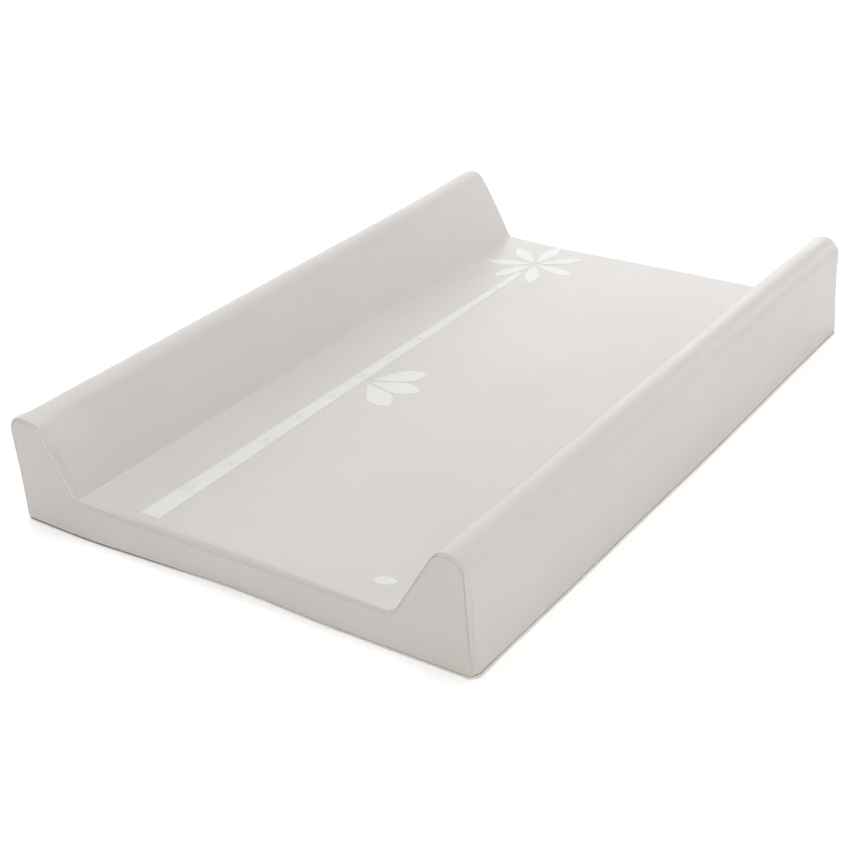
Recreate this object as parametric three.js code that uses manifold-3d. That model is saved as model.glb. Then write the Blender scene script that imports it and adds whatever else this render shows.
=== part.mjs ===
// A changing pad with two raised sides: a foam core of one slab and two wedges inside a wipe-clean cover.
// The cover is cut as one long top sheet, two end panels and a bottom sheet, and rolled welts and a base
// binding close its seams. Thin printed films lie on the surface that the baby lies on.
// Millimetres. +X is to the right across the pad, +Y runs along it from the front end, +Z is up.
// The origin is the centre of the underside.

import * as THREE from "three";
import { mergeVertices } from "three/addons/utils/BufferGeometryUtils.js";
import Module from "manifold-3d";

const wasm = await Module();
wasm.setup();

// Overall sizes
const WIDTH = 480;
const LENGTH = 700;
const HEIGHT = 106;
const GAP = 0.3; // clearance between neighbouring solids

// Section across the pad
const FLOOR_HEIGHT = 37; // the lying surface above the table
const SLOPE_FOOT_X = 166; // where the inner slope would meet the floor as a sharp corner
const SLOPE_FOOT_RADIUS = 14;
const CREST_RADIUS = 17.5;
const CREST_CENTRE_X = 218.5;
const SIDE_FOOT_X = 239; // the outer side at its lowest point

// Cover
const SKIN = 1; // thickness of the coated cloth
const WELT_WIDTH = 2.4; // rolled seam round each end
const WELT_DEPTH = 2.4;
const END_MARGIN = 0.6; // from the end of the base binding in to the face of a welt
const PANEL_SETBACK = 0.5; // from the face of a welt in to its end panel
const BINDING_WIDTH = 3; // rolled edge round the underside
const BINDING_HEIGHT = 2;
const BINDING_CORNER_RADIUS = 8;

// Foam core
const FOAM_CLEARANCE = SKIN + GAP;
const FOAM_BOTTOM = BINDING_HEIGHT + GAP;

// Print on the lying surface
const FILM = 0.3;
const RULER_X = -93.7;
const RULER_FRONT_Y = -338;
const RULER_LENGTH = 600;
const RULER_FRONT_WIDTH = 21.6;
const RULER_REAR_WIDTH = 7.6;
const ROSETTE_Y = 292;
const ROSETTE_LEAVES = 7;
const ROSETTE_LEAF = { length: 56, width: 16, fullest: 1.3 };
const ROSETTE_HUB_RADIUS = 6;
const SPRIG_X = -85.6; // just clear of the ruler's edge
const SPRIG_Y = -42;
const SPRIG_LEAF = { length: 64, width: 27, fullest: 1 };
const SPRIG_ANGLES = [-30, 5, 40]; // degrees from straight across the pad
const BADGE_X = 126;
const BADGE_Y = -321;
const BADGE_LEAF = { length: 22, width: 12, fullest: 1 };
const BADGE_ANGLE = 20; // degrees from straight across the pad

const ARC_STEPS = 12;
const LEAF_STEPS = 10;

const sideFootZ = BINDING_HEIGHT + GAP;
const crestCentreZ = HEIGHT - CREST_RADIUS;
const weltEndY = LENGTH / 2 - END_MARGIN;
const weltStartY = weltEndY - WELT_WIDTH;
const skinEndY = weltStartY - GAP;
const panelEndY = weltEndY - PANEL_SETBACK;

const COVER = { color: 0xd6cecb, roughness: 0.45, metalness: 0 };
const UNDERSIDE = { color: 0xcfc7c1, roughness: 0.6, metalness: 0 };
const BINDING = { color: 0xd9cdc3, roughness: 0.5, metalness: 0 };
const FOAM = { color: 0xefe9d8, roughness: 0.95, metalness: 0 };
const PRINT = { color: 0xeeece8, roughness: 0.5, metalness: 0 };

const pad = new THREE.Group();
pad.name = "changing_pad";

// ---- Section outline ----

// Directions of the two straight flanks of the right-hand bolster, as the angles of their outward normals.
function flankAngles() {
  const outerX = CREST_CENTRE_X - SIDE_FOOT_X;
  const outerZ = crestCentreZ - sideFootZ;
  const outerLean = Math.asin(CREST_RADIUS / Math.hypot(outerX, outerZ));
  const innerX = CREST_CENTRE_X - SLOPE_FOOT_X;
  const innerZ = crestCentreZ - FLOOR_HEIGHT;
  const innerLean = Math.asin(CREST_RADIUS / Math.hypot(innerX, innerZ));
  return {
    side: Math.atan2(outerZ, outerX) - outerLean - Math.PI / 2,
    slope: Math.atan2(innerZ, innerX) + innerLean + Math.PI / 2,
  };
}

const flank = flankAngles();

function arcPoints(centreX, centreZ, radius, from, to, steps) {
  const points = [];
  for (let i = 0; i <= steps; i++) {
    const angle = from + ((to - from) * i) / steps;
    points.push(
      new THREE.Vector2(centreX + radius * Math.cos(angle), centreZ + radius * Math.sin(angle)),
    );
  }
  return points;
}

// The point at height z on a flank that touches the crest at this angle, the given distance inside the skin.
function flankPoint(angle, inset, z) {
  const radius = CREST_RADIUS - inset;
  const touchX = CREST_CENTRE_X + radius * Math.cos(angle);
  const touchZ = crestCentreZ + radius * Math.sin(angle);
  return new THREE.Vector2(touchX - (z - touchZ) * Math.tan(angle), z);
}

function crestArc(inset) {
  const radius = CREST_RADIUS - inset;
  return arcPoints(CREST_CENTRE_X, crestCentreZ, radius, flank.side, flank.slope, ARC_STEPS);
}

// Right half of the cover's outline, from the foot of the outer side to the foot of the inner slope.
function halfOutline(inset) {
  const footX =
    SLOPE_FOOT_X + (SLOPE_FOOT_RADIUS * (1 - Math.sin(flank.slope))) / Math.cos(flank.slope);
  const footZ = FLOOR_HEIGHT + SLOPE_FOOT_RADIUS;
  const radius = SLOPE_FOOT_RADIUS + inset;
  const fillet = arcPoints(footX, footZ, radius, flank.slope - Math.PI, -Math.PI / 2, ARC_STEPS / 2);
  return [flankPoint(flank.side, inset, sideFootZ), ...crestArc(inset), ...fillet];
}

function mirrored(points) {
  return points.map((p) => new THREE.Vector2(-p.x, p.y)).reverse();
}

// The whole outline over the top, from the right foot to the left foot.
function outline(inset) {
  const half = halfOutline(inset);
  return [...half, ...mirrored(half)];
}

// ---- Solids ----

function addMesh(name, geometry, surface) {
  const mesh = new THREE.Mesh(geometry, new THREE.MeshStandardMaterial(surface));
  mesh.name = name;
  pad.add(mesh);
  return mesh;
}

// A section in X and Z, extruded along Y between two stations.
function addAlongPad(name, points, startY, endY, surface) {
  const geometry = new THREE.ExtrudeGeometry(new THREE.Shape(points), {
    depth: endY - startY,
    bevelEnabled: false,
  });
  geometry.rotateX(Math.PI / 2);
  const mesh = addMesh(name, geometry, surface);
  mesh.position.y = endY;
  return mesh;
}

// A plan shape in X and Y, extruded upwards.
function addFlat(name, shape, bottomZ, thickness, surface) {
  const geometry = new THREE.ExtrudeGeometry(shape, { depth: thickness, bevelEnabled: false });
  const mesh = addMesh(name, geometry, surface);
  mesh.position.z = bottomZ;
  return mesh;
}

function band(outerInset, innerInset) {
  return [...outline(outerInset), ...outline(innerInset).reverse()];
}

function roundedRectangle(width, length, radius) {
  const x = width / 2;
  const y = length / 2;
  const corners = [
    [x - radius, y - radius, 0],
    [radius - x, y - radius, 1],
    [radius - x, radius - y, 2],
    [x - radius, radius - y, 3],
  ];
  return corners.flatMap(([centreX, centreY, quarter]) => {
    const from = (quarter * Math.PI) / 2;
    return arcPoints(centreX, centreY, radius, from, from + Math.PI / 2, ARC_STEPS / 2);
  });
}

// A pointed leaf that starts at its stalk and bulges as a sine along its length. A fullest above 1 moves
// the widest place towards the tip.
function leafPoints({ length, width, fullest }, stalkX, stalkY, degrees) {
  const angle = THREE.MathUtils.degToRad(degrees);
  const along = new THREE.Vector2(Math.cos(angle), Math.sin(angle));
  const across = new THREE.Vector2(along.y, -along.x);
  const stalk = new THREE.Vector2(stalkX, stalkY);
  const points = [];
  for (let i = 0; i < 2 * LEAF_STEPS; i++) {
    const side = i < LEAF_STEPS ? 1 : -1;
    const t = side > 0 ? i / LEAF_STEPS : 2 - i / LEAF_STEPS;
    const reach = (side * width * Math.sin(Math.PI * t ** fullest)) / 2;
    points.push(stalk.clone().addScaledVector(along, t * length).addScaledVector(across, reach));
  }
  return points;
}

// One geometry from several plan outlines that overlap, all extruded to the film's thickness.
function joinedFilm(outlines) {
  let joined = null;
  for (const points of outlines) {
    const shape = new THREE.Shape(points);
    const geometry = new THREE.ExtrudeGeometry(shape, { depth: FILM, bevelEnabled: false });
    geometry.deleteAttribute("normal");
    geometry.deleteAttribute("uv");
    const merged = mergeVertices(geometry);
    const solid = new wasm.Manifold(
      new wasm.Mesh({
        numProp: 3,
        vertProperties: merged.attributes.position.array,
        triVerts: new Uint32Array(merged.index.array),
      }),
    );
    joined = joined ? joined.add(solid) : solid;
  }
  const mesh = joined.getMesh();
  const result = new THREE.BufferGeometry();
  result.setAttribute("position", new THREE.BufferAttribute(mesh.vertProperties, 3));
  result.setIndex(new THREE.BufferAttribute(mesh.triVerts, 1));
  result.computeVertexNormals();
  return result;
}

// ---- Cover ----

function buildCover() {
  addAlongPad("top_cover_sheet", band(0, SKIN), -skinEndY, skinEndY, COVER);

  const ends = [
    ["front", -1],
    ["rear", 1],
  ];
  for (const [name, side] of ends) {
    const weltFrom = side < 0 ? -weltEndY : weltStartY;
    addAlongPad(`${name}_end_welt`, band(0, WELT_DEPTH), weltFrom, weltFrom + WELT_WIDTH, COVER);
    const panelFrom = side < 0 ? -panelEndY : panelEndY - SKIN;
    addAlongPad(`${name}_end_panel`, outline(WELT_DEPTH + GAP), panelFrom, panelFrom + SKIN, COVER);
  }

  const sheetInset = 2 * (BINDING_WIDTH + GAP);
  const sheetRadius = BINDING_CORNER_RADIUS - BINDING_WIDTH - GAP;
  const sheet = roundedRectangle(WIDTH - sheetInset, LENGTH - sheetInset, sheetRadius);
  addFlat("bottom_sheet", new THREE.Shape(sheet), 0, SKIN, UNDERSIDE);

  const ring = new THREE.Shape(roundedRectangle(WIDTH, LENGTH, BINDING_CORNER_RADIUS));
  const inner = roundedRectangle(
    WIDTH - 2 * BINDING_WIDTH,
    LENGTH - 2 * BINDING_WIDTH,
    BINDING_CORNER_RADIUS - BINDING_WIDTH,
  );
  ring.holes.push(new THREE.Path(inner.reverse()));
  addFlat("base_binding", ring, 0, BINDING_HEIGHT, BINDING);
}

// ---- Foam ----

function buildFoam() {
  const slabTop = FLOOR_HEIGHT - FOAM_CLEARANCE;
  const slab = [
    flankPoint(flank.side, FOAM_CLEARANCE, FOAM_BOTTOM),
    flankPoint(flank.side, FOAM_CLEARANCE, slabTop),
  ];
  addAlongPad("foam_base_slab", [...slab, ...mirrored(slab)], -skinEndY, skinEndY, FOAM);

  const wedgeBottom = slabTop + GAP;
  const wedge = [
    flankPoint(flank.side, FOAM_CLEARANCE, wedgeBottom),
    ...crestArc(FOAM_CLEARANCE),
    flankPoint(flank.slope, FOAM_CLEARANCE, wedgeBottom),
  ];
  addAlongPad("right_foam_wedge", wedge, -skinEndY, skinEndY, FOAM);
  addAlongPad("left_foam_wedge", mirrored(wedge), -skinEndY, skinEndY, FOAM);
}

// ---- Print ----

function buildPrint() {
  const filmZ = FLOOR_HEIGHT + GAP;
  const rulerRearY = RULER_FRONT_Y + RULER_LENGTH;
  const stripe = new THREE.Shape([
    new THREE.Vector2(RULER_X - RULER_FRONT_WIDTH / 2, RULER_FRONT_Y),
    new THREE.Vector2(RULER_X + RULER_FRONT_WIDTH / 2, RULER_FRONT_Y),
    new THREE.Vector2(RULER_X + RULER_REAR_WIDTH / 2, rulerRearY),
    new THREE.Vector2(RULER_X - RULER_REAR_WIDTH / 2, rulerRearY),
  ]);
  addFlat("printed_ruler", stripe, filmZ, FILM, PRINT);

  const hub = arcPoints(RULER_X, ROSETTE_Y, ROSETTE_HUB_RADIUS, 0, 2 * Math.PI, 2 * ARC_STEPS);
  hub.pop();
  const rosette = [hub];
  for (let i = 0; i < ROSETTE_LEAVES; i++) {
    const degrees = 90 + (360 * i) / ROSETTE_LEAVES;
    rosette.push(leafPoints(ROSETTE_LEAF, RULER_X, ROSETTE_Y, degrees));
  }
  const sprig = SPRIG_ANGLES.map((degrees) => leafPoints(SPRIG_LEAF, SPRIG_X, SPRIG_Y, degrees));
  const badge = [leafPoints(BADGE_LEAF, BADGE_X, BADGE_Y, BADGE_ANGLE)];
  addMesh("printed_leaf_rosette", joinedFilm(rosette), PRINT).position.z = filmZ;
  addMesh("printed_leaf_sprig", joinedFilm(sprig), PRINT).position.z = filmZ;
  addMesh("printed_leaf_badge", joinedFilm(badge), PRINT).position.z = filmZ;
}

buildCover();
buildFoam();
buildPrint();

export default pad;
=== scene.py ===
import math

import bpy
import numpy as np
from mathutils import Matrix, Vector, noise
from mathutils.bvhtree import BVHTree
from mathutils.geometry import delaunay_2d_cdt


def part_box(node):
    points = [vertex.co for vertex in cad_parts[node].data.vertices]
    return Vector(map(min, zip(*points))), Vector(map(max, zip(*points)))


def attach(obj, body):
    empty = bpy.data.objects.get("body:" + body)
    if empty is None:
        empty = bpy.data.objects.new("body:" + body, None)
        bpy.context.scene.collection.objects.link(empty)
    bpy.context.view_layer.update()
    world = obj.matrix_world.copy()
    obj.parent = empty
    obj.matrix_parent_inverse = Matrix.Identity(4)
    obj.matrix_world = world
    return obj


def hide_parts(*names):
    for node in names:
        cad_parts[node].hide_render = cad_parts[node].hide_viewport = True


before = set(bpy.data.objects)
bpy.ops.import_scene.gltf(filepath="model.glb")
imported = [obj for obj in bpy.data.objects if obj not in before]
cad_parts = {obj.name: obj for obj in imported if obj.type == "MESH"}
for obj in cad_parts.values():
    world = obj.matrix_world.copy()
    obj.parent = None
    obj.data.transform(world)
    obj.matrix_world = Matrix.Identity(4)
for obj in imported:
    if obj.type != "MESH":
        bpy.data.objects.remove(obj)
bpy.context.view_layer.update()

# Lengths here are in millimetres, in the CAD model's frame, until a mesh is made.
MM = 0.001
BODY = "root"


def cad_size(node, axis):
    """The highest coordinate of a CAD node along an axis, in millimetres."""
    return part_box(node)[1][axis] / MM


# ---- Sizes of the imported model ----

HEIGHT = cad_size("top_cover_sheet", 2)
LIP_X = cad_size("base_binding", 0)  # outermost edge of the underside, beside and at the ends
LIP_Y = cad_size("base_binding", 1)
FOOT_Z = 2.3  # lower edge of the cover, just above the binding
FLOOR = 37.0
CREST_RADIUS = 17.5
CREST_X = 218.5
CREST_Z = HEIGHT - CREST_RADIUS
SIDE_X = LIP_X - 1
SLOPE_X = 166.0
END_Y = LIP_Y - 0.5  # plane of the end panels

# ---- Small helpers ----


def bump(t, centre, width):
    return np.exp(-(((t - centre) / width) ** 2))


def ease(t, start, end):
    s = np.clip((t - start) / (end - start), 0, 1)
    return s * s * (3 - 2 * s)


def flank_angle(x, z, turn):
    """Angle of the outward normal of the flank that runs from this foot up to the crest."""
    dx, dz = CREST_X - x, CREST_Z - z
    lean = math.asin(CREST_RADIUS / math.hypot(dx, dz))
    return math.atan2(dz, dx) + turn * (lean + math.pi / 2)


SIDE_ANGLE = flank_angle(SIDE_X, FOOT_Z, -1)
SLOPE_ANGLE = flank_angle(SLOPE_X, FLOOR, 1)


def polar(angle):
    return np.stack([np.cos(angle), np.sin(angle)], axis=-1)


# ---- The pad's section ----


def half_section(fillet, foot):
    """Right half of the outline, from the outer foot to the middle of the floor: points, outward
    normals, and how far each point is on the floor (1) rather than on a bolster (0)."""
    side, slope = polar(SIDE_ANGLE), polar(SLOPE_ANGLE)
    crest = np.array([CREST_X, CREST_Z])
    touch_side, touch_slope = crest + CREST_RADIUS * side, crest + CREST_RADIUS * slope
    foot_x = touch_side[0] - (foot - touch_side[1]) * math.tan(SIDE_ANGLE)
    centre_x = SLOPE_X + fillet * (1 - math.sin(SLOPE_ANGLE)) / math.cos(SLOPE_ANGLE)
    centre = np.array([centre_x, FLOOR + fillet])
    slope_foot = centre - fillet * slope

    low = np.array([0, 0.5, 1, 1.6, 2.4, 3.6, 5.5, 8, 11.5]) + foot
    heights = np.concatenate([low, np.linspace(low[-1], touch_side[1], 17)[1:]])
    t = (heights - foot) / (touch_side[1] - foot)
    sections = [(np.outer(1 - t, [foot_x, foot]) + np.outer(t, touch_side), side, 0.0)]
    angles = np.linspace(SIDE_ANGLE, SLOPE_ANGLE, 21)[1:]
    sections.append((crest + CREST_RADIUS * polar(angles), polar(angles), 0.0))
    t = np.concatenate([np.linspace(0, 0.78, 14)[1:], np.linspace(0.78, 1, 15)[1:]])
    sections.append((np.outer(1 - t, touch_slope) + np.outer(t, slope_foot), slope, 0.0))
    angles = np.linspace(SLOPE_ANGLE - math.pi, -math.pi / 2, 13)[1:]
    turned = ease(np.linspace(0, 1, 13)[1:], 0, 1)
    sections.append((centre + fillet * polar(angles), -polar(angles), turned))
    x = np.linspace(centre_x, 0, 33)[1:]
    sections.append((np.stack([x, np.full_like(x, FLOOR)], 1), np.array([0.0, 1.0]), 1.0))

    points = np.concatenate([s[0] for s in sections])
    normals = np.concatenate([np.broadcast_to(s[1], s[0].shape) for s in sections])
    level = np.concatenate([np.broadcast_to(s[2], len(s[0])) for s in sections])
    return points, normals, level


def section(fillet_right, fillet_left, foot):
    """The whole outline, from the right foot over both bolsters to the left foot."""
    right, left = half_section(fillet_right, foot), half_section(fillet_left, foot)
    flip = np.array([-1.0, 1.0])
    points = np.concatenate([right[0], (left[0] * flip)[-2::-1]])
    normals = np.concatenate([right[1], (left[1] * flip)[-2::-1]])
    return points, normals, np.concatenate([right[2], left[2][-2::-1]])


# Radius of the corner between slope and floor, which is rounder at the right bolster's ends.
LEFT_FILLET = 3.5
RIGHT_FILLET = 7.0
RIGHT_END_FILLET = 12.0
END_FILLET_REACH = (4, 120)  # distances from the end where its radius stops, and is gone


def pad_section(y, foot=FOOT_Z):
    """The outline at a place along the pad."""
    shift = float(ease(END_Y - abs(y), *END_FILLET_REACH))
    right = RIGHT_END_FILLET + (RIGHT_FILLET - RIGHT_END_FILLET) * shift
    return section(right, LEFT_FILLET, foot)


def end_roll(points, normals, level):
    """Radius at which the top sheet rolls over into an end seam: full beside the pad, small over
    the crests and slopes, fuller again along the floor, and nearly sharp at the outer foot, where
    the corner of the base rounds it instead."""
    outwards = normals[:, 0] * np.sign(points[:, 0])
    foot = bump(points[:, 1], FOOT_Z, 22) * (outwards > 0.9)
    bolster = 1.0 + 2.3 * ease(outwards, 0.2, 1.0) * (1 - 0.75 * foot)
    bolster = bolster + 1.1 * ease(-outwards, 0.35, 0.85) * (points[:, 0] < 0)
    floor = 1.6 + 3.2 * np.clip(1 - (points[:, 0] / 150) ** 2, 0, 1)
    return bolster * (1 - level) + floor * level


# ---- How the soft pad stands ----


def settle(p):
    """Moves points of the ideal pad to where the soft one stands: ends that lean, edges that bow, a
    floor that crowns, and rounded corners of the base."""
    x, y, z = p[..., 0], p[..., 1], p[..., 2]
    near_front, near_rear = ease(-y, 240, 346), ease(y, 220, 346)
    low = 1 - ease(z, 0, 42)
    right, left = ease(x, 60, 236), ease(-x, 60, 236)

    # How far each end stands out along the pad, from place to place.
    front = low * (1.6 * bump(x, -148, 42) + 1.3 * bump(x, -192, 45))
    front = front - low * (3.3 * bump(x, -6, 56) + 1.0 * bump(x, 45, 38))
    front = front + 3.0 * ease(z, 30, 100) * (1 - ease(x, -235, -150))
    rear = (13.0 * ease(z, -40, 72) + 1.5) * (1 - ease(x, -235, -60))
    rear = rear + (3.4 + 1.6 * low) * (1 - ease(-x, -235, -150))
    dy = rear * near_rear - front * near_front

    # Across: the right side bows, and leans out near its rear end. The left bolster is a little
    # wider at both ends.
    bow = 0.7 + 0.9 * bump(y, 30, 70) - 0.9 * ease(-y, 200, 345) - 1.8 * ease(y, 120, 340)
    waist = ease(y, 150, 340) * (1.3 * ease(z, 60, 95) - 0.2 * bump(z, 52, 22))
    upright = 0.4 * ease(-y, 120, 340) * ease(z, 40, 95)
    wider = 1.6 * near_rear * ease(x, -226, -196) * (1 - ease(x, -160, -100))
    square = ease(-y, 285, 346) * ease(-x, 150, 190)
    outer, inner = bump(x, -234, 9) * bump(z, 100, 10), ease(z, 40, 97) * ease(x, -224, -203)
    wider = wider + square * (5.2 * inner - 0.2 * outer)
    dx = right * (bow * (0.35 + 0.65 * low) + waist + 0.5 * near_rear) - left * upright + wider

    # Upwards: the floor crowns, and the left crest lies a little low except at its ends.
    crown = 2.3 * np.clip(1 - (x / 158) ** 2, 0, 1) ** 1.4 * ease(z, 4, 34)
    settled = -0.8 + 2.0 * ease(y, 240, 340)
    lift = left * ease(z, 40, 100) * settled
    lift = lift + square * ease(-y, 326, 346) * (2.0 * outer + 1.2 * inner)

    # The front corners of the base are round, and the rear ones are nearly sharp.
    corner = np.where(y < 0, 9.0, 4.0)
    a = np.clip(abs(x) - (LIP_X - corner), 0, None)
    b = np.clip(abs(y) - (LIP_Y - corner), 0, None)
    pull = np.where((a > 0) & (b > 0), 1 - np.maximum(a, b) / np.maximum(np.hypot(a, b), 1e-6), 0)
    pull = pull * bump(z, 0, 26)
    moved = [x + dx - np.sign(x) * a * pull, y + dy - np.sign(y) * b * pull, z + crown + lift]
    return np.stack(moved, -1)


def waves(p, scale, seed):
    """Smooth noise from -1 to 1 at each point."""
    shift = Vector((17.3 * seed, -9.1 * seed, 5.7 * seed))
    return np.array([noise.fractal(Vector(q) / scale + shift, 1.0, 2.0, 2) for q in p])


# ---- Meshes ----


def grid_faces(rows, columns, close_rows=False, close_columns=False):
    i = np.arange(rows if close_rows else rows - 1)
    j = np.arange(columns if close_columns else columns - 1)
    i, j = (a.ravel() for a in np.meshgrid(i, j, indexing="ij"))
    i2, j2 = (i + 1) % rows, (j + 1) % columns
    return np.stack([i * columns + j, i * columns + j2, i2 * columns + j2, i2 * columns + j], 1)


def add_mesh(name, points, faces, material):
    mesh = bpy.data.meshes.new(name)
    mesh.from_pydata((np.asarray(points) * MM).tolist(), [], [list(map(int, f)) for f in faces])
    mesh.validate()
    mesh.polygons.foreach_set("use_smooth", [True] * len(mesh.polygons))
    mesh.materials.append(material)
    obj = bpy.data.objects.new(name, mesh)
    bpy.context.collection.objects.link(obj)
    return obj


COVER_THICKNESS = 0.8
UNDERSIDE_THICKNESS = 0.5


def thicken(obj, millimetres):
    """Gives a sheet its thickness, inwards from the face that shows."""
    made = obj.modifiers.new("thickness", "SOLIDIFY")
    made.thickness = millimetres * MM
    made.offset = -1
    return obj


def piece(obj, slot, *nodes):
    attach(obj, BODY)
    if nodes:
        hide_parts(*nodes)
    return obj


# ---- Camera ----

LENS = 68.1
SENSOR = 36.0
CAMERA_AT = Vector((0.7829, -1.1488, 0.7251))
AZIMUTH, ELEVATION, ROLL = (math.radians(v) for v in (35.82, 27.72, -3.20))


def add_camera():
    data = bpy.data.cameras.new("camera")
    data.lens, data.sensor_width = LENS, SENSOR
    camera = bpy.data.objects.new("camera", data)
    bpy.context.collection.objects.link(camera)
    back = Vector(
        (
            math.sin(AZIMUTH) * math.cos(ELEVATION),
            -math.cos(AZIMUTH) * math.cos(ELEVATION),
            math.sin(ELEVATION),
        )
    )
    level = Vector((math.cos(AZIMUTH), math.sin(AZIMUTH), 0))
    up = back.cross(level)
    right = level * math.cos(ROLL) + up * math.sin(ROLL)
    above = -level * math.sin(ROLL) + up * math.cos(ROLL)
    turn = Matrix((right, above, back)).transposed().to_4x4()
    camera.matrix_world = Matrix.Translation(CAMERA_AT) @ turn
    bpy.context.scene.camera = camera


add_camera()

# ---- Materials ----


def shader(name):
    material = bpy.data.materials.new(name)
    material.use_nodes = True
    nodes, links = material.node_tree.nodes, material.node_tree.links
    return material, nodes, links, nodes["Principled BSDF"]


def node(nodes, kind, **inputs):
    made = nodes.new(kind)
    for key, value in inputs.items():
        made.inputs[key.replace("_", " ")].default_value = value
    return made


def coloured(nodes, links, factor, low, high):
    mix = nodes.new("ShaderNodeMix")
    mix.data_type = "RGBA"
    links.new(factor, mix.inputs["Factor"])
    mix.inputs["A"].default_value = (*low, 1)
    mix.inputs["B"].default_value = (*high, 1)
    return mix.outputs["Result"]


def ranged(nodes, links, value, low, high, start=0.0, end=1.0):
    made = node(nodes, "ShaderNodeMapRange", From_Min=start, From_Max=end, To_Min=low, To_Max=high)
    links.new(value, made.inputs["Value"])
    return made.outputs["Result"]


def coated_cloth(name, dark, light, rough, grain, pebble=950.0):
    """Vinyl-coated cloth: a fine pebbled grain, soft changes of shade and of gloss."""
    material, nodes, links, surface = shader(name)
    place = nodes.new("ShaderNodeTexCoord").outputs["Object"]
    cloud = node(nodes, "ShaderNodeTexNoise", Scale=9.0, Detail=4.0, Roughness=0.55)
    fine = node(nodes, "ShaderNodeTexNoise", Scale=2600.0, Detail=2.0)
    cells = node(nodes, "ShaderNodeTexVoronoi", Scale=pebble)
    cells.feature = "SMOOTH_F1"
    scuffs = node(nodes, "ShaderNodeTexNoise", Scale=55.0, Detail=5.0, Roughness=0.65)
    for made in (cloud, fine, cells, scuffs):
        links.new(place, made.inputs["Vector"])
    shade = ranged(nodes, links, cloud.outputs["Fac"], 0.0, 1.0, 0.3, 0.7)
    links.new(coloured(nodes, links, shade, dark, light), surface.inputs["Base Color"])
    gloss = ranged(nodes, links, scuffs.outputs["Fac"], rough - 0.04, rough + 0.05, 0.35, 0.65)
    links.new(gloss, surface.inputs["Roughness"])
    add = nodes.new("ShaderNodeMath")
    add.operation = "MULTIPLY_ADD"
    links.new(fine.outputs["Fac"], add.inputs[0])
    add.inputs[1].default_value = 0.35
    links.new(cells.outputs["Distance"], add.inputs[2])
    relief = node(nodes, "ShaderNodeBump", Strength=grain, Distance=0.00012)
    links.new(add.outputs["Value"], relief.inputs["Height"])
    links.new(relief.outputs["Normal"], surface.inputs["Normal"])
    surface.inputs["Specular IOR Level"].default_value = 0.8
    return material


def open_foam(name):
    material, nodes, links, surface = shader(name)
    place = nodes.new("ShaderNodeTexCoord").outputs["Object"]
    cells = node(nodes, "ShaderNodeTexVoronoi", Scale=520.0)
    cloud = node(nodes, "ShaderNodeTexNoise", Scale=30.0, Detail=4.0)
    for made in (cells, cloud):
        links.new(place, made.inputs["Vector"])
    tone = coloured(nodes, links, cloud.outputs["Fac"], (0.80, 0.74, 0.58), (0.90, 0.86, 0.74))
    links.new(tone, surface.inputs["Base Color"])
    surface.inputs["Roughness"].default_value = 0.95
    relief = node(nodes, "ShaderNodeBump", Strength=0.8, Distance=0.0008)
    links.new(cells.outputs["Distance"], relief.inputs["Height"])
    links.new(relief.outputs["Normal"], surface.inputs["Normal"])
    return material


def backing(name):
    """Underside cloth: a woven backing that shows a fine square grid of threads."""
    material, nodes, links, surface = shader(name)
    place = nodes.new("ShaderNodeTexCoord").outputs["Object"]
    threads = []
    for direction in ("X", "Y"):
        wave = node(nodes, "ShaderNodeTexWave", Scale=260.0, Distortion=0.6, Detail=1.0)
        wave.bands_direction = direction
        links.new(place, wave.inputs["Vector"])
        threads.append(wave.outputs["Fac"])
    weave = nodes.new("ShaderNodeMath")
    weave.operation = "MULTIPLY"
    links.new(threads[0], weave.inputs[0])
    links.new(threads[1], weave.inputs[1])
    cloud = node(nodes, "ShaderNodeTexNoise", Scale=14.0, Detail=3.0)
    links.new(place, cloud.inputs["Vector"])
    tone = coloured(nodes, links, cloud.outputs["Fac"], (0.52, 0.475, 0.435), (0.60, 0.555, 0.515))
    links.new(tone, surface.inputs["Base Color"])
    surface.inputs["Roughness"].default_value = 0.62
    relief = node(nodes, "ShaderNodeBump", Strength=0.35, Distance=0.0002)
    links.new(weave.outputs["Value"], relief.inputs["Height"])
    links.new(relief.outputs["Normal"], surface.inputs["Normal"])
    return material


COVER = coated_cloth("cover_vinyl", (0.526, 0.488, 0.470), (0.546, 0.508, 0.490), 0.43, 0.30)
PANEL = coated_cloth("panel_vinyl", (0.501, 0.462, 0.441), (0.521, 0.482, 0.461), 0.44, 0.30)
# The bead's vinyl is lighter than the cover's: a painted highlight along the seam's ridge, where
# light would catch it.
WELT_PAINTED_HIGHLIGHT = coated_cloth("welt_vinyl_painted_highlight", (0.590, 0.545, 0.525), (0.610, 0.565, 0.545), 0.38, 0.15)
TAPE = coated_cloth("binding_vinyl", (0.680, 0.655, 0.630), (0.720, 0.695, 0.670), 0.48, 0.30)
PRINT = coated_cloth("print_white", (0.620, 0.606, 0.580), (0.645, 0.631, 0.605), 0.45, 0.20)
MARK = coated_cloth("print_mark", (0.510, 0.475, 0.455), (0.530, 0.495, 0.475), 0.44, 0.20)
FOAM = open_foam("cell_foam")
BACKING = backing("underside_weave")

# ---- Top sheet ----

GROOVE = [(0.95, 0.42), (0.40, 0.24)]  # the sheet's tucked edge: back from the end, and inset
ROLL_ANGLES = np.radians([90, 80, 70, 61, 52, 43, 34, 25, 16, 8])
ROLL_STRETCH = 1.25  # the roll reaches further back along the sheet than it turns down
SPAN = [0.0, 0.16, 0.32, 0.48, 0.64, 0.82]  # from the end of the roll to the first plain station
PLAIN_FROM = 6.5


def end_rows():
    """Rows of the sheet at an end: (kind, value), from the hidden edge to where the roll ends."""
    rows = [("groove", g) for g in GROOVE] + [("roll", a) for a in ROLL_ANGLES]
    return rows + [("span", t) for t in SPAN]


def body_stations():
    """Stations along the pad between the rolled ends, close together near the ends."""
    step, at, half = 0.8, END_Y - PLAIN_FROM, []
    while at > 2.5:
        half.append(at)
        step = min(step * 1.18, 6.2)
        at -= step
    return [-v for v in half] + [0.0] + half[::-1]


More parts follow.
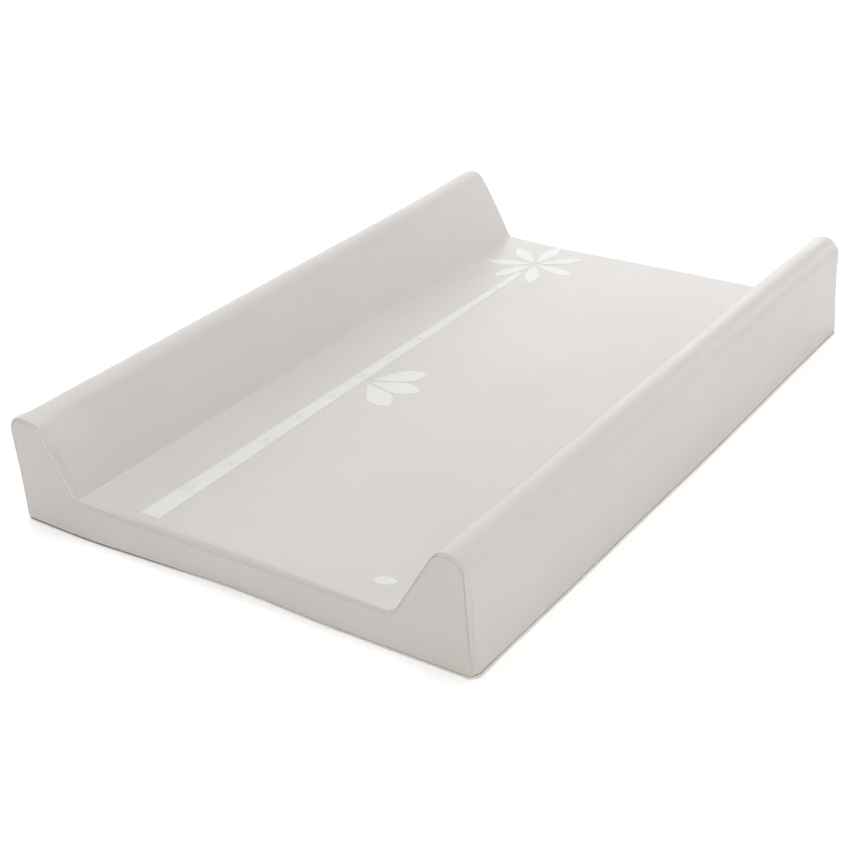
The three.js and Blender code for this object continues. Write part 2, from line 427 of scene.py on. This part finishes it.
def surface_relief(p, level, away):
    """Millimetres that the sheet stands out of the ideal shape, over the floor and the bolsters."""
    broad = waves(p * [1, 0.6, 1], 95.0, 1)
    small = waves(p * [1, 0.8, 1], 34.0, 2)
    return (0.35 * level + 0.08) * broad + 0.08 * small * ease(away, 2, 30)


def end_creases(p, normal, away):
    """Creases of the sheet beside the front seam: one along the outside of the right bolster,
    small pleats where that bolster meets the floor, and a stub and a fold by the left one."""
    x, z = p[:, 0], p[:, 2]
    front = p[:, 1] < 0
    outside = front * (normal[:, 0] > 0.8) * ease(z, 6, 26) * (1 - ease(z, 70, 88))
    at = 1.6 + 2.2 * ease(z, 0, 70)
    crease = outside * (0.30 * bump(away, at - 0.9, 0.5) - 0.60 * bump(away, at, 0.45))

    right_corner = bump(x, 164.0, 5.0) * bump(z, 40, 6)
    pleats = 0.75 * right_corner * front * bump(away, 2.6, 3.2) * np.sin((x - 160.0) * 1.5)
    left_corner = bump(x, -164.8, 1.2) * bump(z, 41, 5)
    stub = 0.8 * left_corner * front * bump(away, 2.2, 2.4)
    fold = -0.35 * front * bump(x, -156.0, 1.5) * ease(away, 5, 10) * (1 - ease(away, 30, 60))
    return crease + pleats + stub + fold


def build_top_sheet():
    """The sheet as rows across the pad. A row at an end takes its place and depth from the roll."""
    grid, levels, normals, aways = [], [], [], []

    def add_row(y, inset, station):
        points, normal, level = pad_section(station)
        roll = end_roll(points, normal, level)
        foot_tuck = 0.7 * (1 - ease(points[:, 1], FOOT_Z, FOOT_Z + 1.8)) ** 1.5
        foot_tuck *= abs(points[:, 0]) > CREST_X
        depth = (inset(roll) if callable(inset) else inset) + foot_tuck
        along = y(roll) if callable(y) else np.full(len(points), float(y))
        moved = points - normal * np.reshape(depth, (-1, 1))
        grid.append(np.stack([moved[:, 0], along, moved[:, 1]], 1))
        levels.append(level)
        normals.append(np.stack([normal[:, 0], np.zeros(len(normal)), normal[:, 1]], 1))
        aways.append(END_Y - abs(along))

    for side in (-1, 1):
        rows = end_rows() if side < 0 else end_rows()[::-1]
        if side > 0:
            for y in body_stations():
                add_row(y, 0.0, y)
        for kind, value in rows:
            if kind == "groove":
                back, deep = value
                add_row(
                    lambda roll, s=side, b=back: np.full(len(roll), s * (END_Y - b)),
                    lambda roll, d=deep: roll + d,
                    END_Y,
                )
            elif kind == "roll":
                add_row(
                    lambda roll, s=side, a=value: s
                    * (END_Y - roll * ROLL_STRETCH * (1 - math.sin(a))),
                    lambda roll, a=value: roll * (1 - math.cos(a)),
                    END_Y,
                )
            else:
                add_row(
                    lambda roll, s=side, t=value: s
                    * (END_Y - (1 - t) * roll * ROLL_STRETCH - t * PLAIN_FROM),
                    0.0,
                    END_Y,
                )
    rows, columns = len(grid), len(grid[0])
    p = np.concatenate(grid)
    level, normal, away = np.concatenate(levels), np.concatenate(normals), np.concatenate(aways)
    relief = surface_relief(p, level, away) * ease(away, 0, 8) + end_creases(p, normal, away)
    p = p + normal * relief[:, None]
    obj = add_mesh("cover_top_sheet", settle(p), grid_faces(rows, columns)[:, ::-1], COVER)
    thicken(obj, COVER_THICKNESS)
    return piece(obj, "coated_cover", "top_cover_sheet")


# ---- End panels and welts ----

# The bead in the seam stands out differently in each part of the outline: (bead radius, its inset
# from the sheet's roll, its depth behind the end's plane, panel inset, and how far the panel's edge
# tucks in).
CREST_SEAM = (0.90, 1.15, 0.62, 1.85, 0.85)
FLOOR_SEAM = (0.60, 0.80, 0.38, 1.25, 0.50)
OUTER_SEAM = (0.42, 0.55, 0.95, 0.80, 0.80)
RIGHT_SLOPE_SEAM = (0.35, 0.45, 1.10, 0.62, 0.75)
LEFT_SLOPE_SEAM = (2.30, 1.65, 1.75, 2.75, 0.1)


def seam(points, normals, level):
    """The seam's five sizes at each point of the outline, blended from part to part."""
    outwards = normals[:, 0] * np.sign(points[:, 0])
    bolster = 1 - level
    turn = np.where(points[:, 0] > 0, 0.35, -0.15)
    outer = bolster * ease(outwards - turn, 0, 0.6)
    slope = bolster * ease(-outwards, 0.35, 0.85)
    on_right = points[:, 0] > 0
    shares = [
        (bolster - outer - slope, CREST_SEAM),
        (level, FLOOR_SEAM),
        (outer, OUTER_SEAM),
        (slope * on_right, RIGHT_SLOPE_SEAM),
        (slope * ~on_right, LEFT_SLOPE_SEAM),
    ]
    return sum(np.outer(share, kind) for share, kind in shares).T


RIM = [0, 0.35, 0.8, 1.4, 2.2, 3.3, 4.8, 6.8, 9.3]  # rings of the panel, in from its edge
MIDDLE = 6.0  # how much deeper than the last ring the panel's middle counts as
BOTTOM_TUCK = 0.85  # how far the panel's bottom edge tucks in


def end_outline(inset, foot):
    """Closed outline of an end panel, in from its edge, the last points along the bottom."""
    points, normal, level = pad_section(END_Y, foot)
    edge = seam(points, normal, level)[3]
    ring = points - normal * (end_roll(points, normal, level) + edge + inset)[:, None]
    x = np.linspace(ring[-1, 0], ring[0, 0], 96)[1:-1]
    return np.concatenate([ring, np.stack([x, np.full_like(x, foot)], 1)])


def inside_points(ring, spacing, margin):
    """Points of a grid that lie inside a closed outline, away from its edge."""
    low, high = ring.min(0), ring.max(0)
    x, z = np.meshgrid(
        np.arange(low[0] + spacing, high[0], spacing), np.arange(low[1] + margin, high[1], spacing)
    )
    found = np.stack([x.ravel(), z.ravel()], 1)
    a, b = ring, np.roll(ring, -1, 0)
    crossing = (a[:, 1] > found[:, 1:]) != (b[:, 1] > found[:, 1:])
    slope = (b[:, 0] - a[:, 0]) / np.where(b[:, 1] == a[:, 1], 1e-9, b[:, 1] - a[:, 1])
    at = a[:, 0] + (found[:, 1:] - a[:, 1]) * slope
    inside = ((crossing & (found[:, :1] < at)).sum(1) % 2) == 1
    d = b - a
    t = ((found[:, None] - a) * d).sum(2) / np.maximum((d * d).sum(1), 1e-9)
    near = a + np.clip(t, 0, 1)[..., None] * d
    clear = np.linalg.norm(found[:, None] - near, axis=2).min(1) > margin
    return found[inside & clear]


def filled(ring, spacing):
    """Points and triangles that fill a closed outline. The outline's points come first, and the
    triangles run anticlockwise."""
    extra = inside_points(ring, spacing, spacing * 0.55)
    points = [Vector(q) for q in np.concatenate([ring, extra]).tolist()]
    edges = [(i, (i + 1) % len(ring)) for i in range(len(ring))]
    made = delaunay_2d_cdt(points, edges, [], 1, 1e-5)
    return np.array([tuple(v) for v in made[0]]), [list(f) for f in made[2]]


def build_end_panel(side, name, node_name):
    """An end panel: rings in from its edge, then a filled middle. Its rim tucks in under the bead,
    and its middle bellies out a little."""
    rings = [end_outline(r, FOOT_Z + 0.1 + r) for r in RIM]
    count = len(rings[0])
    inner, faces = filled(rings[-1], 5.5)
    flat = np.concatenate(rings[:-1] + [inner])
    start = count * (len(rings) - 1)
    tris = [[start + v for v in f] for f in faces]
    quads = grid_faces(len(rings), count, close_columns=True).tolist()
    depth = np.concatenate([np.full(count, r) for r in RIM[:-1]] + [np.full(len(inner), RIM[-1])])
    depth[start + count :] += MIDDLE
    outwards = np.column_stack([flat[:, 0], np.full(len(flat), side * END_Y), flat[:, 1]])
    rim_tuck = np.full(count, BOTTOM_TUCK)
    points, normal, level = pad_section(END_Y)
    rim_tuck[: len(points)] = seam(points, normal, level)[4]
    rim_tuck = np.concatenate([np.tile(rim_tuck, len(RIM)), np.zeros(len(inner) - count)])
    tuck = rim_tuck * (1 - ease(depth, -0.3, 1.7))
    belly = 0.9 * ease(depth, 0.5, 16)
    hollow = 0.18 * bump(depth, 1.6, 0.7) - 0.25 * bump(depth, 3.8, 1.5)
    below_pleats = bump(flat[:, 0], 165.4, 1.5) * ease(flat[:, 1], 20, 27)
    hollow = hollow - (0.55 * below_pleats if side < 0 else 0)
    broad = 0.35 * waves(outwards, 60.0, 3 + side) * ease(depth, 1, 12)
    outwards[:, 1] = side * (END_Y - 0.15 - tuck + belly * 0.6 + hollow + broad)
    faces = [f[::side] for f in quads + tris]
    obj = add_mesh(name, settle(outwards), faces, PANEL)
    thicken(obj, COVER_THICKNESS)
    return piece(obj, "coated_cover", node_name)


def sweep(path, across, around, closed, size):
    """A rolled edge along a path. The two directions across it go with the section's two
    coordinates, and size holds what they are multiplied by at each point of the path."""
    first, second = across[0] * size[:, :1], across[1] * size[:, 1:]
    ring = path[:, None] + first[:, None] * around[:, :1] + second[:, None] * around[:, 1:]
    rows, columns = ring.shape[:2]
    faces = grid_faces(rows, columns, close_rows=closed, close_columns=True).tolist()
    if not closed:
        faces.append(list(range(columns))[::-1])
        faces.append(list(range((rows - 1) * columns, rows * columns)))
    return ring.reshape(-1, 3), [f[::-1] for f in faces]


def build_welt(side, name, node_name):
    """The bead in an end seam, its lighter colour a painted highlight along the ridge."""
    points, normal, level = pad_section(END_Y, FOOT_Z - 0.2)
    radius, inset, behind, _, _ = seam(points, normal, level)
    centre = points - normal * (end_roll(points, normal, level) + inset)[:, None]
    path = np.stack([centre[:, 0], side * (END_Y - behind), centre[:, 1]], 1)
    out = np.stack([normal[:, 0], np.zeros(len(normal)), normal[:, 1]], 1)
    end = np.tile([0.0, float(side), 0.0], (len(path), 1))
    around = polar(np.linspace(0, 2 * math.pi, 13)[:-1])[::-side]
    size = np.stack([radius, radius], 1)
    made, faces = sweep(path, (out, end), around, closed=False, size=size)
    obj = add_mesh(name, settle(made), faces, WELT_PAINTED_HIGHLIGHT)
    return piece(obj, "coated_cover", node_name)


# ---- Base binding and underside ----

BASE_CORNER = 4.0


def rounded_base(inset, spacing):
    """The base's outline, in from its edge, with its outward normals."""
    radius = BASE_CORNER - inset
    x, y = LIP_X - inset - radius, LIP_Y - inset - radius
    points, normals = [], []
    centres = [(x, y), (-x, y), (-x, -y), (x, -y)]
    for quarter, centre in enumerate(centres):
        start = quarter * math.pi / 2
        arc = polar(np.linspace(start, start + math.pi / 2, 9))
        points.append(np.array(centre) + radius * arc)
        normals.append(arc)
        following = np.array(centres[(quarter + 1) % 4]) + radius * arc[-1]
        here = points[-1][-1]
        steps = max(2, int(np.linalg.norm(following - here) / spacing))
        t = np.linspace(0, 1, steps + 1)[1:-1, None]
        points.append((1 - t) * here + t * following)
        normals.append(np.tile(arc[-1], (len(t), 1)))
    return np.concatenate(points), np.concatenate(normals)


def build_binding():
    """The rolled edge round the base."""
    half_width, half_height = 1.5, 1.05
    flat, normal = rounded_base(half_width, 4.0)
    path = np.column_stack([flat, np.full(len(flat), half_height)])
    # The rolled edge shows less along the left part of the front, where it is pressed flat and
    # leaves the gap above it open, and more towards the near corner.
    front = ease(-flat[:, 1], 300, 345)
    pressed = (1 - ease(flat[:, 0], -150, 10)) * front
    shows = 0.45 * ease(flat[:, 0], -60, 230) - 0.5 * pressed
    full = 1 - 0.68 * pressed
    path[:, 2] *= full
    ripple = 0.12 * waves(path, 22.0, 8)
    path[:, :2] += normal * (shows * front + ripple)[:, None]
    circle = polar(np.linspace(0, 2 * math.pi, 17)[:-1])
    squarish = np.sign(circle) * abs(circle) ** 0.75
    around = squarish * [half_width, half_height]
    out = np.column_stack([normal, np.zeros(len(normal))])
    up = np.tile([0.0, 0.0, 1.0], (len(path), 1))
    size = np.stack([np.ones(len(full)), full], 1)
    made, faces = sweep(path, (out, up), around, closed=True, size=size)
    obj = add_mesh("base_rolled_binding", settle(made), faces, TAPE)
    return piece(obj, "binding_tape", "base_binding")


def build_underside():
    """The sheet that closes the cover underneath, a little hollow away from its edge."""
    edge, _ = rounded_base(3.2, 6.0)
    flat, faces = filled(edge, 9.0)
    rim = len(edge)
    points = np.column_stack([flat, np.full(len(flat), 0.55)])
    inside = np.minimum(LIP_X - abs(flat[:, 0]), LIP_Y - abs(flat[:, 1]))
    points[:, 2] += 0.45 * ease(inside, 3, 30) + 0.15 * waves(points, 70.0, 6) * ease(inside, 3, 30)
    points[:rim, 2] = 0.9
    obj = add_mesh("underside_sheet", settle(points), [f[::-1] for f in faces], BACKING)
    thicken(obj, UNDERSIDE_THICKNESS)
    return piece(obj, "underside_cloth", "bottom_sheet")


# ---- Foam core ----

FOAM_CLEARANCE = 1.6  # between the foam and the outside of the cover
FOAM_REACH = END_Y - 4.6
FOAM_ENDS = [(0.0, 1.8), (0.5, 0.8), (1.2, 0.2), (2.2, 0.0)]  # back from the end, and drawn in


def foam_block(name, node_name, outline):
    """A block along the pad with an anticlockwise outline, rounded edges at its ends, and end faces
    filled with points, so that they lean as the cover's ends do."""
    a, b = np.roll(outline, 1, 0), np.roll(outline, -1, 0)
    tangent = b - a
    inward = np.stack([-tangent[:, 1], tangent[:, 0]], 1)
    inward /= np.linalg.norm(inward, axis=1)[:, None]
    ys = [(-FOAM_REACH + back, drawn) for back, drawn in FOAM_ENDS]
    ys += [(y, 0.0) for y in np.linspace(-FOAM_REACH + 12, FOAM_REACH - 12, 66)]
    ys += [(FOAM_REACH - back, drawn) for back, drawn in FOAM_ENDS[::-1]]

    def row(flat, y):
        return np.column_stack([flat[:, 0], np.full(len(flat), y), flat[:, 1]])

    rows = [row(outline + inward * drawn, y) for y, drawn in ys]
    count = len(outline)
    faces = grid_faces(len(rows), count, close_columns=True).tolist()
    flat, tris = filled(outline + inward * FOAM_ENDS[0][1], 8.0)
    for rim, y, way in ((0, -FOAM_REACH, -1), ((len(ys) - 1) * count, FOAM_REACH, 1)):
        start = sum(len(r) for r in rows) - count
        faces += [[(rim if v < count else start) + v for v in f][::way] for f in tris]
        rows.append(row(flat[count:], y))
    points = np.concatenate(rows)
    obj = add_mesh(name, settle(points), [f[::-1] for f in faces], FOAM)
    return piece(obj, "foam", node_name)


def resampled(corners, spacing):
    """A closed outline with its long runs cut into short ones."""
    out = []
    for a, b in zip(corners, np.roll(corners, -1, 0)):
        steps = max(1, int(round(np.linalg.norm(b - a) / spacing)))
        out += [a + (b - a) * t for t in np.linspace(0, 1, steps + 1)[:-1]]
    return np.array(out)


def flank_point(angle, inset, z):
    """A point of a bolster's flank at a height, in from the outside of the cover."""
    touch = np.array([CREST_X, CREST_Z]) + (CREST_RADIUS - inset) * polar(angle)
    return np.array([touch[0] - (z - touch[1]) * math.tan(angle), z])


def build_core():
    """The foam: a slab, and a wedge on it under each bolster."""
    top = FLOOR - FOAM_CLEARANCE - 0.2
    bottom = FOOT_Z + 0.4
    slab = np.array([flank_point(SIDE_ANGLE, FOAM_CLEARANCE, z) for z in (bottom, top)])
    slab = np.concatenate([slab, (slab * [-1, 1])[::-1]])
    foam_block("foam_slab", "foam_base_slab", resampled(slab, 10.0))
    arc = np.linspace(SIDE_ANGLE, SLOPE_ANGLE, 15)
    crest = np.array([CREST_X, CREST_Z]) + (CREST_RADIUS - FOAM_CLEARANCE) * polar(arc)
    low = top + 0.4
    wedge = np.concatenate(
        [
            [flank_point(SIDE_ANGLE, FOAM_CLEARANCE, low)],
            crest,
            [flank_point(SLOPE_ANGLE, FOAM_CLEARANCE, low)],
        ]
    )
    foam_block("foam_wedge_right", "right_foam_wedge", resampled(wedge, 8.0))
    foam_block("foam_wedge_left", "left_foam_wedge", resampled((wedge * [-1, 1])[::-1], 8.0))


# ---- Print ----

RULER_X = -93.7
RULER_ZERO = -339.6
RULER_STEP = 50.0
RULER_MARKS = 11
RULER_REAR = 266.0
MARK_HALF_WIDTH = 0.25
ROSETTE = (-92.5, 291.0)
ROSETTE_LEAVES = 7
SPRIG = (-84.5, -42.0)
SPRIG_ANGLES = (-34, 4, 42)  # degrees from straight across the pad
BADGE = (126.0, -321.0)
BADGE_ANGLE = 20
PRINT_LIFT, PRINT_THICKNESS = 0.14, 0.08  # the print's top stands this far above the sheet
MARK_LIFT, MARK_THICKNESS = 0.22, 0.05


def leaf(centre, degrees, length, width, fullest=1.25, stalk=0.0):
    """A pointed leaf from its stalk to its tip, its widest place moved towards the tip."""
    t = np.linspace(0, 1, 26)
    half = width / 2 * np.sin(math.pi * t**fullest) ** 0.9
    along, across = polar(math.radians(degrees)), polar(math.radians(degrees - 90))
    spine = np.array(centre) + np.outer(stalk + t * (length - stalk), along)
    right, left = spine + half[:, None] * across, spine - half[:, None] * across
    return np.concatenate([right, left[-2:0:-1]])


def surface_height(tree, x, y):
    """Height of the top sheet under a point of the plan."""
    hit = tree.ray_cast(Vector((x * MM, y * MM, 0.2)), Vector((0, 0, -1)))[0]
    return hit.z / MM


def film(obj, millimetres):
    """Makes flat print a thin closed film, shaded flat so that its edges stay crisp."""
    obj.data.polygons.foreach_set("use_smooth", [False] * len(obj.data.polygons))
    return thicken(obj, millimetres)


def lay_film(tree, outlines, spacing, name):
    """Closed plan outlines, filled and laid on the sheet as one thin printed film."""
    points, faces = [], []
    for outline in outlines:
        flat, tris = filled(outline, spacing)
        start = len(points)
        points += [(x, y, surface_height(tree, x, y) + PRINT_LIFT) for x, y in flat]
        faces += [[start + v for v in f] for f in tris]
    points = np.array(points)
    a, b, c = (points[np.array(faces)[:, k]] for k in range(3))
    up = np.cross(b - a, c - a)[:, 2] > 0
    faces = [f if u else f[::-1] for f, u in zip(faces, up)]
    return film(add_mesh(name, points, faces, PRINT), PRINT_THICKNESS)


def ruler_width(y):
    """The printed stripe narrows evenly towards the rear."""
    return 21.6 - 14.0 * (y + 338) / 600


def numeral(text, size, x, y):
    """Outlines of a number in the plain default font, centred on a point."""
    curve = bpy.data.curves.new("numeral", "FONT")
    curve.body, curve.size = text, size
    curve.align_x, curve.align_y = "CENTER", "CENTER"
    holder = bpy.data.objects.new("numeral", curve)
    bpy.context.collection.objects.link(holder)
    mesh = holder.to_mesh()
    points = np.array([[v.co.x + x, v.co.y + y] for v in mesh.vertices])
    faces = [list(p.vertices) for p in mesh.polygons]
    holder.to_mesh_clear()
    bpy.data.objects.remove(holder)
    return points, faces


def build_print(sheet):
    mesh = sheet.data
    tree = BVHTree.FromPolygons(
        [v.co for v in mesh.vertices], [tuple(p.vertices) for p in mesh.polygons]
    )
    ys = np.arange(RULER_ZERO + 2.0, RULER_REAR, 6.0)
    right = np.array([[RULER_X + ruler_width(y) / 2, y] for y in ys])
    left = np.array([[RULER_X - ruler_width(y) / 2, y] for y in ys[::-1]])
    stripe = lay_film(tree, [np.concatenate([right, left])], 7.0, "print_ruler")

    points, faces = [], []

    def flat_mark(flat, shapes):
        start = len(points)
        points.extend((px, py, surface_height(tree, px, py) + MARK_LIFT) for px, py in flat)
        faces.extend([start + v for v in f] for f in shapes)

    for index in range(1, RULER_MARKS + 1):
        y = RULER_ZERO + RULER_STEP * index
        half = ruler_width(y) / 2 - 0.8
        corners = [(-1, -1), (1, -1), (1, 1), (-1, 1)]
        flat_mark(
            [(RULER_X + i * half, y + j * MARK_HALF_WIDTH) for i, j in corners], [[0, 1, 2, 3]]
        )
        size = min(8.0, ruler_width(y) * 0.5)
        flat_mark(*numeral(str(5 * index), size, RULER_X, y + size * 0.75))
    marks = film(add_mesh("print_ruler_marks", np.array(points), faces, MARK), MARK_THICKNESS)

    turns = 90 + 360 * np.arange(ROSETTE_LEAVES) / ROSETTE_LEAVES
    leaves = [leaf(ROSETTE, a, 56, 15.5, stalk=3.0) for a in turns]
    rosette = lay_film(tree, leaves, 4.0, "print_rosette")
    leaves = [leaf(SPRIG, a, 62, 24, fullest=1.6, stalk=3.0) for a in SPRIG_ANGLES]
    sprig = lay_film(tree, leaves, 4.0, "print_sprig")
    badge = lay_film(tree, [leaf(BADGE, BADGE_ANGLE, 22, 12, fullest=1.0)], 3.0, "print_badge")
    piece(stripe, "print_ink", "printed_ruler")
    piece(marks, "print_ink")
    piece(rosette, "print_ink", "printed_leaf_rosette")
    piece(sprig, "print_ink", "printed_leaf_sprig")
    piece(badge, "print_ink", "printed_leaf_badge")


top_sheet = build_top_sheet()
front_panel = build_end_panel(-1, "cover_front_panel", "front_end_panel")
rear_panel = build_end_panel(1, "cover_rear_panel", "rear_end_panel")
build_welt(-1, "cover_front_welt", "front_end_welt")
build_welt(1, "cover_rear_welt", "rear_end_welt")
build_binding()
underside = build_underside()
build_core()
build_print(top_sheet)

# ---- Floor and light ----

COOL, WARM = (0.935, 0.98, 1.0), (1.0, 0.955, 0.88)
LAMPS = [  # name, place, width and height, power, colour
    ("over_soft", (0.0, 0.2, 2.4), (2.4, 2.4), 36.4, COOL),
    ("left_high_soft", (-1.2, 0.0, 2.2), (1.6, 1.6), 11.5, COOL),
    ("back_left_soft", (-1.4, 1.94, 0.98), (3.0, 0.9), 13.7, COOL),
    ("back_low_soft", (0.0, 2.4, 0.7), (3.0, 0.7), 10.6, COOL),
    ("back_right_soft", (1.6, 1.8, 1.0), (2.0, 0.9), 6.6, WARM),
    ("camera_soft", (1.15, -1.75, 1.35), (0.9, 0.9), 8.9, WARM),
]
AIM = (0, 0, 0.05)
FLOOR_HALF = 60.0
FLOOR_GLOW = (0.20, 0.75)  # light that the floor gives off, near the pad and far from it
GLOW_REACH = (0.6, 3.0)  # distances between which the one turns into the other
SKY = (1.0, 0.34)  # strength of the surroundings, at the horizon and above
SKY_RISE = (0.23, 0.36)  # heights on the sky between which the one turns into the other


def add_floor():
    """A pale floor that glows a little, so that it stays white to its horizon."""
    mesh = bpy.data.meshes.new("studio_floor")
    corners = [(-1, -1), (1, -1), (1, 1), (-1, 1)]
    mesh.from_pydata([(i * FLOOR_HALF, j * FLOOR_HALF, 0) for i, j in corners], [], [(0, 1, 2, 3)])
    material, nodes, links, surface = shader("studio_white")
    surface.inputs["Base Color"].default_value = (0.95, 0.95, 0.95, 1)
    surface.inputs["Roughness"].default_value = 0.9
    surface.inputs["Emission Color"].default_value = (1, 1, 1, 1)
    place = nodes.new("ShaderNodeTexCoord").outputs["Object"]
    away = nodes.new("ShaderNodeVectorMath")
    away.operation = "LENGTH"
    links.new(place, away.inputs[0])
    glow = ranged(nodes, links, away.outputs["Value"], *FLOOR_GLOW, *GLOW_REACH)
    links.new(glow, surface.inputs["Emission Strength"])
    mesh.materials.append(material)
    floor = bpy.data.objects.new("studio_floor", mesh)
    bpy.context.collection.objects.link(floor)


def add_area(name, at, size, power, colour):
    data = bpy.data.lights.new(name, "AREA")
    data.shape = "RECTANGLE"
    data.size, data.size_y = size
    data.energy, data.color = power, colour
    light = bpy.data.objects.new(name, data)
    bpy.context.collection.objects.link(light)
    light.location = at
    light.rotation_euler = (Vector(AIM) - Vector(at)).to_track_quat("-Z", "Y").to_euler()


def add_light():
    world = bpy.data.worlds.new("studio")
    world.use_nodes = True
    nodes, links = world.node_tree.nodes, world.node_tree.links
    background = nodes["Background"]
    background.inputs["Color"].default_value = (1.0, 0.99, 0.975, 1)
    direction = nodes.new("ShaderNodeSeparateXYZ")
    links.new(nodes.new("ShaderNodeTexCoord").outputs["Generated"], direction.inputs[0])
    strength = ranged(nodes, links, direction.outputs["Z"], *SKY, *SKY_RISE)
    links.new(strength, background.inputs["Strength"])
    bpy.context.scene.world = world
    for lamp in LAMPS:
        add_area(*lamp)


add_floor()
add_light()
bpy.context.scene.view_settings.view_transform = "Standard"
